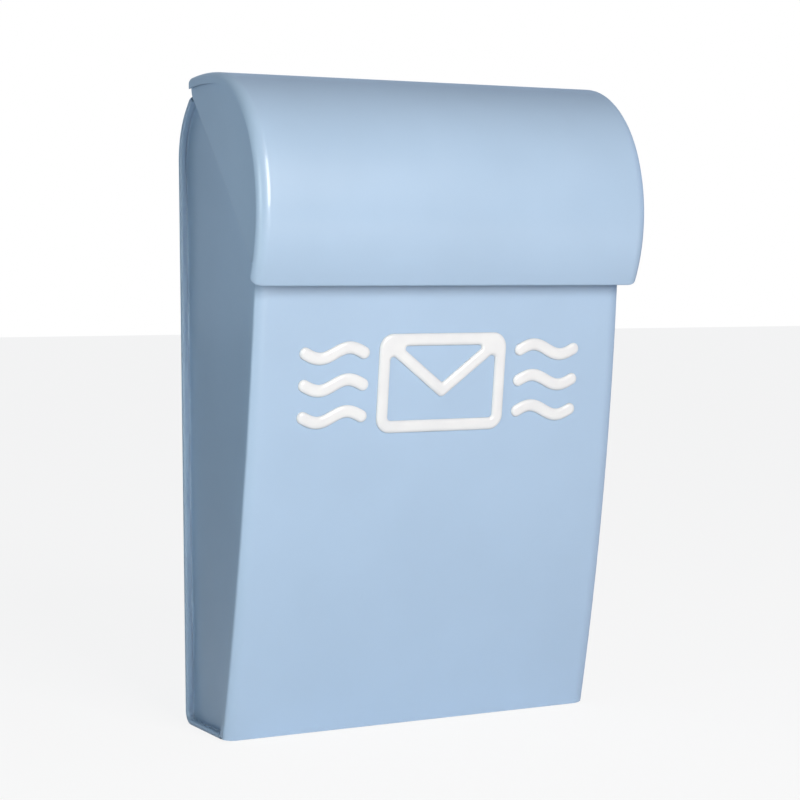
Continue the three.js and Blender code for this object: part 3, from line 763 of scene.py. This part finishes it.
def resampled(points, count):
    """The same line as `count` points, evenly spaced."""
    reach = [0.0]
    for here, there in zip(points, points[1:]):
        reach.append(reach[-1] + (there - here).length)
    found, i = [], 0
    for k in range(count):
        target = reach[-1] * k / (count - 1)
        while i < len(points) - 2 and reach[i + 1] < target:
            i += 1
        step = reach[i + 1] - reach[i]
        found.append(points[i].lerp(points[i + 1], (target - reach[i]) / step if step else 0))
    return found


def make_lid_shell():
    """The barrel sheet with rolled sides, rounded lower corners and pressed folds along its edges."""
    line = lid_line(0.05)
    bm = bmesh.new()
    grid(bm, [lid_column(line, *place) for place in lid_section()])
    face_outwards(bm, (0, -140, 330), (0, -1, 0))
    shell = piece("lid_shell_fine", bm, "lid", ["lid_shell"], LID_PAINT)
    thicken(shell)
    soften(shell, degrees=50)


def cheek_edge():
    """The end plate's lower edge from the rear of the lid to its front, bowed a little outwards."""
    chin, nose = Vector(CHEEK_CHIN), Vector(CHEEK_NOSE)
    along = (nose - chin).normalized()
    out = Vector((along.y, -along.x))
    bowed = []
    for i in range(CHEEK_BOW_STEPS + 1):
        share = i / CHEEK_BOW_STEPS
        bowed.append(chin.lerp(nose, share) + out * CHEEK_BOW * 4 * share * (1 - share))
    return [*(Vector(p) for p in CHEEK_REAR), *bowed]


def make_cheek(side, name):
    """A flat end plate, its lower edge folded under."""
    edge = resampled(cheek_edge(), CHEEK_ROWS)
    rim = [p for p in lid_line(CHEEK_INSET).points if p.x < CHEEK_TOP[0] - 0.1 and p.y > edge[-1].y + 1]
    rim = resampled([Vector(CHEEK_TOP), *rim], CHEEK_ROWS)
    rows = []
    for i, (low_end, high_end) in enumerate(zip(edge, rim)):
        along = (edge[min(i + 1, CHEEK_ROWS - 1)] - edge[max(i - 1, 0)]).normalized()
        inward = Vector((-along.y, along.x)) * -1
        grown = min(1, i / CHEEK_HEM_ROWS)
        fold = FOLD * (0.5 + 0.5 * grown)
        leg = fold + CHEEK_LEAST_HEM + (CHEEK_HEM - CHEEK_LEAST_HEM) * grown
        row = [(CHEEK_FACE - 2 * fold, leg), (CHEEK_FACE - 2 * fold, (leg + fold) / 2)]
        for k in range(8, -1, -1):
            angle = math.pi * k / 8
            row.append((CHEEK_FACE - fold * (1 - math.cos(angle)), fold * (1 - math.sin(angle))))
        folded_edge = [(side * x, *(low_end + inward * reach)) for x, reach in row]
        start = low_end + inward * fold
        plate = [(side * CHEEK_FACE, *start.lerp(high_end, share)) for share in (0.02, 0.35, 0.7, 1)]
        rows.append(folded_edge + plate)
    bm = bmesh.new()
    grid(bm, rows)
    face_outwards(bm, (side * CHEEK_FACE, -80, 350), (side, 0, 0))
    cheek = piece(name + "_fine", bm, "lid", [name], LID_PAINT)
    thicken(cheek)
    soften(cheek, degrees=50)


# ---------- Hinge ----------
def leaf_outline(up, knuckle):
    """A leaf seen from the side: a flat strip, with its knuckle rolled round the pin."""
    radius = KNUCKLE_RADIUS
    tangent = HINGE_Z + up * radius
    inner = tangent - up * LEAF
    edge = HINGE_Y - KNUCKLE_RADIUS - 0.55
    if not knuckle:
        return [(LEAF_FRONT, tangent), (LEAF_FRONT, inner), (edge, inner), (edge, tangent)]
    start = math.degrees(math.acos((radius - LEAF) / radius))
    angles = [90 - t for t in range(0, 361 - math.ceil(start), 6)]
    ring = [(HINGE_Y + radius * math.cos(math.radians(a)), HINGE_Z + up * radius * math.sin(math.radians(a)))
            for a in angles]
    return [(edge - 1, tangent), *ring, (edge - 1, inner)]


def add_prism(bm, outline, x0, x1, bore=None):
    """Adds an outline of (y, z) as a solid from x0 to x1, with a round bore if one is given."""
    first = [bm.verts.new((x0, y, z)) for y, z in outline]
    last = [bm.verts.new((x1, y, z)) for y, z in outline]
    count = len(outline)
    for i in range(count):
        bm.faces.new((first[i], first[(i + 1) % count], last[(i + 1) % count], last[i]))
    if bore is None:
        bm.faces.new(first)
        bm.faces.new(last)
        return
    rings = []
    for x, rim in ((x0, first), (x1, last)):
        ring = [bm.verts.new((x, HINGE_Y + bore * math.cos(a), HINGE_Z + bore * math.sin(a)))
                for a in (2 * math.pi * k / 32 for k in range(32))]
        loops = [bm.edges.new((ring[k], ring[(k + 1) % 32])) for k in range(32)]
        around = [bm.edges.get((rim[k], rim[(k + 1) % count])) for k in range(count)]
        bmesh.ops.triangle_fill(bm, edges=loops + around, use_beauty=True)
        rings.append(ring)
    for k in range(32):
        bm.faces.new((rings[0][k], rings[0][(k + 1) % 32], rings[1][(k + 1) % 32], rings[1][k]))


def make_leaf(name, parity, up, body, material):
    """One leaf of the hinge: a strip and every other knuckle."""
    pitch = KNUCKLE_LENGTH + KNUCKLE_GAP
    reach = ((KNUCKLE_COUNT - parity * 2) * pitch - KNUCKLE_GAP) / 2
    bm = bmesh.new()
    add_prism(bm, leaf_outline(up, False), -reach, reach)
    for i in range(parity, KNUCKLE_COUNT, 2):
        x = (i - (KNUCKLE_COUNT - 1) / 2) * pitch
        add_prism(bm, leaf_outline(up, True), x - KNUCKLE_LENGTH / 2, x + KNUCKLE_LENGTH / 2, HINGE_BORE)
    bmesh.ops.recalc_face_normals(bm, faces=bm.faces[:])
    leaf = piece(name + "_fine", bm, body, [name], material)
    soften(leaf, radius=0.18, degrees=35)


def lathe(bm, profile, centre, segments=40):
    """Turns a profile of (radius, height) about a vertical axis."""
    rings = []
    for radius, height in profile:
        if radius == 0:
            rings.append([bm.verts.new((centre[0], centre[1], height))])
            continue
        ring = []
        for k in range(segments):
            angle = 2 * math.pi * k / segments
            x, y = centre[0] + radius * math.cos(angle), centre[1] + radius * math.sin(angle)
            ring.append(bm.verts.new((x, y, height)))
        rings.append(ring)
    for near, far in zip(rings, rings[1:]):
        for k in range(segments):
            corners = [near[k % len(near)], near[(k + 1) % len(near)]]
            corners += [far[(k + 1) % len(far)], far[k % len(far)]]
            bm.faces.new(list(dict.fromkeys(corners)))
    bmesh.ops.recalc_face_normals(bm, faces=bm.faces[:])


def make_rivets():
    """Five rivets through the body's leaf and the lip, with domed heads."""
    for number in range(1, 6):
        node = f"hinge_rivet_{number}"
        lowest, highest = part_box(node)
        centre = (lowest + highest) / 2 / MM
        top = (highest.z - UNDERSIDE) / MM
        bottom = (lowest.z - UNDERSIDE) / MM
        dome = [(3 * math.cos(math.radians(a)), top - 1.2 + 1.2 * math.sin(math.radians(a)))
                for a in range(0, 90, 10)]
        foot = [(0, bottom), (1.9, bottom + 0.05), (2.4, bottom + 0.5)]
        foot += [(2.3, bottom + 0.95), (1.6, bottom + 1)]
        bm = bmesh.new()
        lathe(bm, foot + [(1.6, top - 1.2)] + dome + [(0, top)], centre)
        rivet = piece(node + "_fine", bm, "body", [node], STEEL)
        soften(rivet, radius=0.12, degrees=50, segments=2)


def make_pin():
    half = high("hinge_pin", 0)
    profile = [(0, -half), (PIN_RADIUS * 0.7, -half), (PIN_RADIUS, 0.5 - half),
               (PIN_RADIUS, half - 0.5), (PIN_RADIUS * 0.7, half), (0, half)]
    bm = bmesh.new()
    lathe(bm, profile, (0, 0, 0), segments=32)
    bm.transform(Matrix.Translation((0, HINGE_Y, HINGE_Z)) @ Matrix.Rotation(math.pi / 2, 4, "Y"))
    pin = piece("hinge_pin_fine", bm, "body", ["hinge_pin"], STEEL)
    soften(pin, radius=0.1, degrees=50, segments=2)


# ---------- Emblem ----------
def filleted(corners, radius, steps=8):
    """A closed outline with each corner rounded. A corner's radius may be given as its third value."""
    points = []
    count = len(corners)
    for i, corner in enumerate(corners):
        here = Vector(corner[:2])
        size = corner[2] if len(corner) > 2 else radius
        before = (Vector(corners[i - 1][:2]) - here).normalized()
        after = (Vector(corners[(i + 1) % count][:2]) - here).normalized()
        half = before.angle(after) / 2
        centre = here + (before + after).normalized() * size / math.sin(half)
        first = (here + before * size / math.tan(half) - centre).normalized()
        last = (here + after * size / math.tan(half) - centre).normalized()
        for k in range(steps + 1):
            points.append(centre + first.slerp(last, k / steps) * size)
    return points


def envelope_outlines():
    """The envelope's outer edge, the opening above its flap and the one below it."""
    w, h = ENVELOPE[0] / 2, ENVELOPE[1] / 2
    outer = [(w, h), (-w, h), (-w, -h), (w, -h)]
    corner = Vector((w - STROKE / 2 - 1, h - STROKE / 2 - 1))
    slope = FLAP_DROP / corner.x
    lift = STROKE / 2 * math.hypot(1, slope)
    tip = corner.y - FLAP_DROP
    top, side, base = h - STROKE, w - STROKE, STROKE - h
    above_x = (top - tip - lift) / slope
    above = [(above_x, top), (-above_x, top), (0, tip + lift)]
    below_y = tip - lift + slope * side
    below = [(side, below_y), (0, tip - lift, STROKE / 2), (-side, below_y), (-side, base), (side, base)]
    return [filleted(outer, ENVELOPE[2]), filleted(above, 1.6)[::-1], filleted(below, 2.2)[::-1]]


def wave_outline(side, row):
    """One wavy stroke with round ends."""
    steps = 40
    height = (1 - row) * WAVE_SPACING
    upper, lower = [], []
    for i in range(steps + 1):
        phase = 2 * math.pi * i / steps
        x = side * (WAVE_START + WAVE_LENGTH * i / steps)
        slope = side * WAVE_RISE * 2 * math.pi / WAVE_LENGTH * math.cos(phase)
        normal = Vector((-slope, 1)).normalized() * STROKE / 2
        middle = Vector((x, height + WAVE_RISE * math.sin(phase)))
        upper.append(middle + normal)
        lower.append(middle - normal)
    if side < 0:
        upper, lower = upper[::-1], lower[::-1]
    return [upper[::-1] + round_end(upper[0], lower[0]) + lower + round_end(lower[-1], upper[-1])]


def round_end(start, end, steps=12):
    """A half circle from one side of a stroke to the other, anticlockwise."""
    centre = (start + end) / 2
    arm = start - centre
    return [centre + Matrix.Rotation(math.pi * k / steps, 2) @ arm for k in range(1, steps)]


def inset_ring(outline, distance):
    """A closed outline moved to the left of its direction of travel."""
    count = len(outline)
    ring = []
    for i, p in enumerate(outline):
        along = (outline[(i + 1) % count] - outline[i - 1]).normalized()
        ring.append(p + Vector((-along.y, along.x)) * distance)
    return ring


def puffed(outlines):
    """A raised shape with a softly rounded edge, lying flat. Outlines run anticlockwise, holes clockwise."""
    bm = bmesh.new()
    lowest, highest = [], []
    for outline in outlines:
        rings = []
        for k in range(9):
            angle = math.pi / 2 * k / 8
            ring = inset_ring(outline, EMBLEM_EDGE * (1 - math.cos(angle)))
            rings.append([bm.verts.new((p.x, p.y, EMBLEM_RAISE * math.sin(angle))) for p in ring])
        count = len(outline)
        for near, far in zip(rings, rings[1:]):
            for i in range(count):
                j = (i + 1) % count
                bm.faces.new((near[i], near[j], far[j], far[i]))
        lowest += closed_edges(bm, rings[0])
        highest += closed_edges(bm, rings[-1])
    for edges in (lowest, highest):
        bmesh.ops.triangle_fill(bm, edges=edges, use_beauty=True)
    bmesh.ops.recalc_face_normals(bm, faces=bm.faces[:])
    return bm


def closed_edges(bm, ring):
    return [bm.edges.get((ring[i - 1], ring[i])) for i in range(len(ring))]


def onto_front(bm):
    """Stands a flat shape, drawn as (right, up), on the bowed front, just clear of it."""
    line = front_line()
    reach, places = 0.0, [0.0]
    for here, there in zip(line.points, line.points[1:]):
        reach += (there - here).length
        places.append(reach)
    crossing = next(i for i, p in enumerate(line.points) if p.y > EMBLEM_HEIGHT)
    below, above = line.points[crossing - 1], line.points[crossing]
    start = places[crossing] - (above - below).length * (above.y - EMBLEM_HEIGHT) / (above.y - below.y)
    for v in bm.verts:
        target = start + v.co.y
        i = max(1, next((k for k, place in enumerate(places) if place > target), len(places) - 1))
        share = (target - places[i - 1]) / (places[i] - places[i - 1])
        foot = line.points[i - 1].lerp(line.points[i], share)
        out = line.left(i)
        lift = v.co.z + 0.02
        v.co = Vector((v.co.x, foot.x + out.x * lift, foot.y + out.y * lift))


def make_emblem():
    bm = puffed(envelope_outlines())
    onto_front(bm)
    piece("emblem_envelope_fine", bm, "body", ["emblem_envelope"], ENAMEL)
    for side, word in ((-1, "left"), (1, "right")):
        for row in range(3):
            bm = puffed(wave_outline(side, row))
            onto_front(bm)
            node = f"emblem_wave_{word}_{row + 1}"
            piece(node + "_fine", bm, "body", [node], ENAMEL)


# ---------- Studio ----------
# Light from each positive axis, which fades with the square of the direction's share of that axis.
WORLD_LOBES = {"X": (0.18, 0.28, 0.49), "Y": (0.46, 0.59, 0.76), "Z": (0.05, 0.03, 0.01)}
FLOOR_LIFT = 0.88  # how much of the floor is plain white when seen directly


def make_floor():
    """A pale floor. Seen directly it is lifted towards white, as on a lit studio table."""
    material, shader = new_material("pale_floor", (0.86, 0.87, 0.88), 0.9)
    cloud = spread(material, add_noise(material, 3), 0, 1)
    tint = blend_colours(material, cloud, (0.87, 0.88, 0.89), (0.85, 0.86, 0.87))
    nodes, links = material.node_tree.nodes, material.node_tree.links
    links.new(tint, shader.inputs["Base Color"])
    glow = nodes.new("ShaderNodeEmission")
    glow.inputs["Color"].default_value = (1, 1, 1, 1)
    lifted = nodes.new("ShaderNodeMixShader")
    lifted.inputs["Fac"].default_value = FLOOR_LIFT
    seen = nodes.new("ShaderNodeLightPath")
    chosen = nodes.new("ShaderNodeMixShader")
    links.new(shader.outputs["BSDF"], lifted.inputs[1])
    links.new(glow.outputs["Emission"], lifted.inputs[2])
    links.new(seen.outputs["Is Camera Ray"], chosen.inputs["Fac"])
    links.new(shader.outputs["BSDF"], chosen.inputs[1])
    links.new(lifted.outputs["Shader"], chosen.inputs[2])
    links.new(chosen.outputs["Shader"], nodes["Material Output"].inputs["Surface"])
    bm = bmesh.new()
    bmesh.ops.create_grid(bm, x_segments=8, y_segments=8, size=30)
    mesh = bpy.data.meshes.new("floor")
    bm.to_mesh(mesh)
    bm.free()
    mesh.materials.append(material)
    floor = bpy.data.objects.new("floor", mesh)
    floor.location.z = UNDERSIDE - 0.0003
    bpy.context.scene.collection.objects.link(floor)


def add_softbox(name, azimuth, elevation, distance, size, power, colour, target, spread=180):
    """A rectangular light that faces a target. Azimuth 0 is straight in front, positive to its left."""
    light = bpy.data.lights.new(name, "AREA")
    light.shape = "RECTANGLE"
    light.size, light.size_y = size
    light.energy = power
    light.color = colour
    light.spread = math.radians(spread)
    holder = bpy.data.objects.new(name, light)
    a, e = math.radians(azimuth), math.radians(elevation)
    way = Vector((-math.sin(a) * math.cos(e), -math.cos(a) * math.cos(e), math.sin(e)))
    holder.location = Vector(target) + way * distance
    holder.rotation_euler = (-way).to_track_quat("-Z", "Y").to_euler()
    holder.visible_camera = False
    bpy.context.scene.collection.objects.link(holder)


def make_world():
    """Light from behind, from the right and from above, before a white background."""
    world = bpy.data.worlds.new("studio")
    world.use_nodes = True
    nodes, links = world.node_tree.nodes, world.node_tree.links
    place = nodes.new("ShaderNodeTexCoord")
    split = nodes.new("ShaderNodeSeparateXYZ")
    links.new(place.outputs["Generated"], split.inputs["Vector"])
    total = None
    for axis, colour in WORLD_LOBES.items():
        share = world_lobe(nodes, links, split.outputs[axis])
        tinted = nodes.new("ShaderNodeVectorMath")
        tinted.operation = "SCALE"
        tinted.inputs[0].default_value = colour
        links.new(share, tinted.inputs["Scale"])
        total = added(nodes, links, total, tinted.outputs["Vector"])
    shade = nodes["Background"]
    links.new(total, shade.inputs["Color"])
    backdrop = nodes.new("ShaderNodeBackground")
    backdrop.inputs["Color"].default_value = (1, 1, 1, 1)
    seen = nodes.new("ShaderNodeLightPath")
    mix = nodes.new("ShaderNodeMixShader")
    links.new(seen.outputs["Is Camera Ray"], mix.inputs["Fac"])
    links.new(shade.outputs["Background"], mix.inputs[1])
    links.new(backdrop.outputs["Background"], mix.inputs[2])
    links.new(mix.outputs["Shader"], nodes["World Output"].inputs["Surface"])
    bpy.context.scene.world = world


def world_lobe(nodes, links, value):
    """How far a direction points along one axis: its component's square, or 0 on the other side."""
    ahead = nodes.new("ShaderNodeMath")
    ahead.operation = "MAXIMUM"
    ahead.inputs[1].default_value = 0
    links.new(value, ahead.inputs[0])
    square = nodes.new("ShaderNodeMath")
    square.operation = "POWER"
    square.inputs[1].default_value = 2
    links.new(ahead.outputs["Value"], square.inputs[0])
    return square.outputs["Value"]


def added(nodes, links, first, second):
    if first is None:
        return second
    both = nodes.new("ShaderNodeVectorMath")
    both.operation = "ADD"
    links.new(first, both.inputs[0])
    links.new(second, both.inputs[1])
    return both.outputs["Vector"]


def make_camera():
    """The main view: from the front's left, level with its upper half."""
    yaw, pitch, roll = math.radians(26.764), math.radians(1.2035), math.radians(-0.6115)
    ahead = Vector((math.sin(yaw) * math.cos(pitch), math.cos(yaw) * math.cos(pitch), -math.sin(pitch)))
    level = Vector((math.cos(yaw), -math.sin(yaw), 0))
    upright = level.cross(ahead)
    right = level * math.cos(roll) + upright * math.sin(roll)
    up = upright * math.cos(roll) - level * math.sin(roll)
    data = bpy.data.cameras.new("camera")
    data.lens = 91.15
    data.sensor_width = 36
    data.shift_y = -0.0506
    camera = bpy.data.objects.new("camera", data)
    turn = Matrix((right, up, -ahead)).transposed().to_4x4()
    camera.matrix_world = Matrix.Translation((-0.5715, -1.1893, 0.0693)) @ turn
    bpy.context.scene.collection.objects.link(camera)
    bpy.context.scene.camera = camera


make_camera()
make_floor()
make_world()
add_softbox("key", 0, 19, 2.2, (0.9, 1.3), 43.5, (1, 0.925, 0.86), (0, -0.08, 0.04))
add_softbox("near_left", 60, 5, 0.5, (0.1, 0.6), 0.46, (0.88, 1, 0.92), (-0.12, -0.1, 0))
add_softbox("side_fill", 75, 10, 1.2, (0.3, 1.2), 0.24, (0.8, 0.94, 1), (-0.12, -0.22, 0), spread=40)
bpy.context.scene.view_settings.view_transform = "Standard"

make_front_panel()
make_back_bottom_panel()
make_side_panel(-1, "side_panel_left")
make_side_panel(1, "side_panel_right")
make_lid_shell()
make_cheek(-1, "lid_cheek_left")
make_cheek(1, "lid_cheek_right")
make_leaf("hinge_leaf_body", 0, -1, "body", BODY_PAINT)
make_leaf("hinge_leaf_lid", 1, 1, "lid", LID_PAINT)
make_pin()
make_rivets()
make_emblem()
